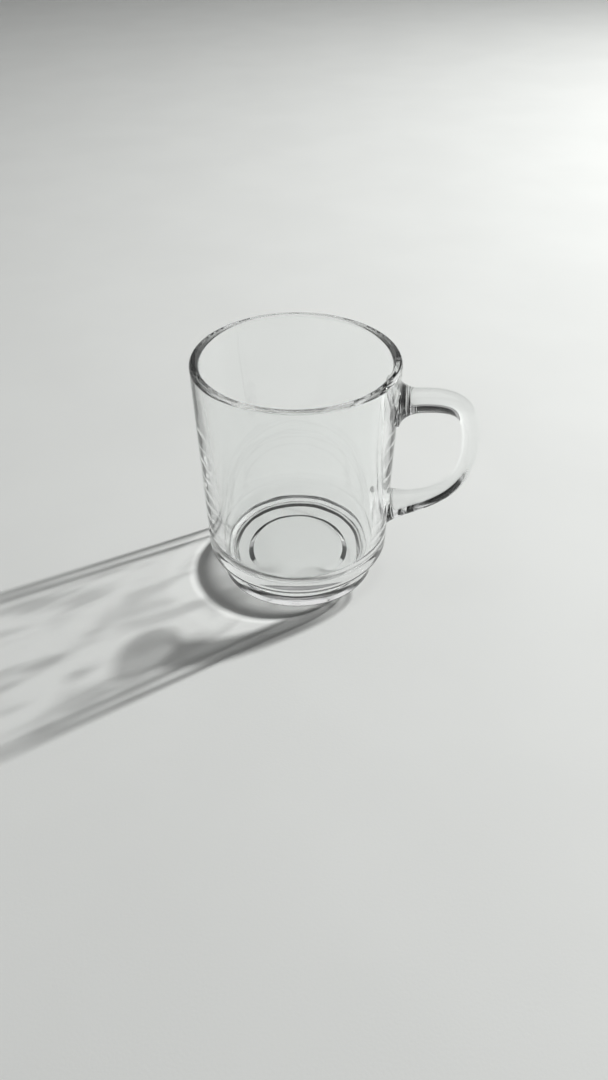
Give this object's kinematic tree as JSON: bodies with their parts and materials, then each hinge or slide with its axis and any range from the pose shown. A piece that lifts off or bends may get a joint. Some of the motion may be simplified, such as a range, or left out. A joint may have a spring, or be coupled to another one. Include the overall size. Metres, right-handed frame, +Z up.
{
  "type": "glass mug",
  "caption": "Clear pressed-glass mug: tapered bowl on a stepped stacking foot, with an oval-section D-shaped handle fused to its wall.",
  "frame": {"origin": "centre of the foot's resting plane, on the bowl's axis", "axes": "+Z up along the bowl's axis, +X towards the handle, +Y across the handle"},
  "size_m": [0.1046, 0.074, 0.09],
  "materials": {
    "bowl_glass": "clear pressed glass, fire-polished, with a faint grey-green tint",
    "handle_glass": "clear pressed glass, fire-polished, with a faint grey-green tint"
  },
  "bodies": {
    "root": {"bowl": "bowl_glass", "handle": "handle_glass"}
  },
  "joints": []
}
